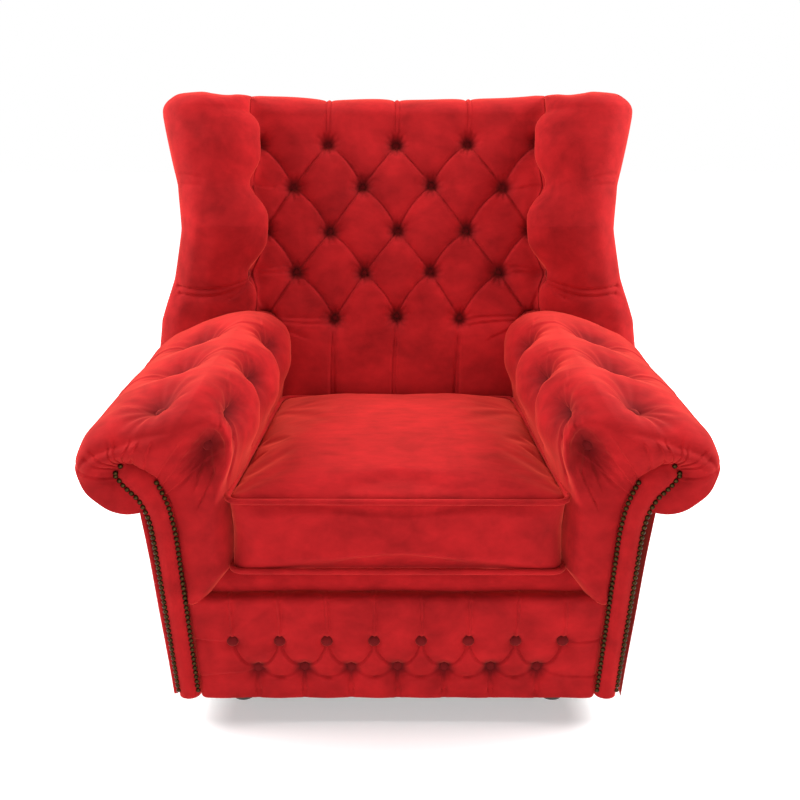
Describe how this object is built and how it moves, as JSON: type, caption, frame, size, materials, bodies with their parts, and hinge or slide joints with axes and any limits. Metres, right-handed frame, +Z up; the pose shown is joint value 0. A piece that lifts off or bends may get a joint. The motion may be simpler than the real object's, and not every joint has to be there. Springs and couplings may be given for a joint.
{
  "type": "tufted velvet armchair",
  "caption": "Winged scroll-arm chair in deep-buttoned velvet, with nail-edged arm facings, a tufted front border and a loose piped seat cushion that pulls out forwards.",
  "frame": {"origin": "on the floor under the centre of the chair's bounding box", "axes": "+Z up, the chair faces -Y, +X to the right of someone looking at its front"},
  "size_m": [1.04, 0.8, 1.058],
  "materials": {
    "velvet": "red cotton velvet with a short pile",
    "button_velvet": "the same velvet stretched over buttons",
    "piping_velvet": "the same velvet over cord",
    "deck_cloth": "plain woven red platform cloth",
    "webbing": "woven jute webbing",
    "bottom_cloth": "thin black bottom cloth",
    "frame_wood": "planed beech, unfinished",
    "feet": "dark stained and lacquered hardwood",
    "nails": "antique brass, domed heads",
    "bolts": "zinc-plated steel"
  },
  "bodies": {
    "chair": {"back_buttons": "button_velvet", "back_lower_rail": "frame_wood", "back_pad": "velvet", "back_top_rail": "frame_wood", "back_webbing": "webbing", "corner_blocks": "frame_wood", "dust_cover": "bottom_cloth", "foot_bolts": "bolts", "front_border": "velvet", "front_border_buttons": "button_velvet", "front_left_foot": "feet", "front_right_foot": "feet", "front_seat_rail": "frame_wood", "left_arm_buttons": "button_velvet", "left_arm_front_board": "frame_wood", "left_arm_pad": "velvet", "left_arm_tack_rail": "frame_wood", "left_arm_top_rail": "frame_wood", "left_back_post": "frame_wood", "left_facing": "velvet", "left_facing_nails": "nails", "left_outside_arm": "velvet", "left_side_seat_rail": "frame_wood", "left_wing_board": "frame_wood", "left_wing_buttons": "button_velvet", "left_wing_pad": "velvet", "outside_back": "velvet", "rear_left_foot": "feet", "rear_right_foot": "feet", "rear_seat_rail": "frame_wood", "right_arm_buttons": "button_velvet", "right_arm_front_board": "frame_wood", "right_arm_pad": "velvet", "right_arm_tack_rail": "frame_wood", "right_arm_top_rail": "frame_wood", "right_back_post": "frame_wood", "right_facing": "velvet", "right_facing_nails": "nails", "right_outside_arm": "velvet", "right_side_seat_rail": "frame_wood", "right_wing_board": "frame_wood", "right_wing_buttons": "button_velvet", "right_wing_pad": "velvet", "seat_deck": "deck_cloth", "seat_lip": "velvet", "seat_webbing": "webbing"},
    "cushion": {"seat_cushion": "velvet", "cushion_top_piping": "piping_velvet", "cushion_bottom_piping": "piping_velvet"}
  },
  "joints": [
    {"name": "cushion_slide", "type": "slide", "parent": "chair", "child": "cushion", "axis": [0, -1, 0], "range_m": [0, 0.45]}
  ]
}
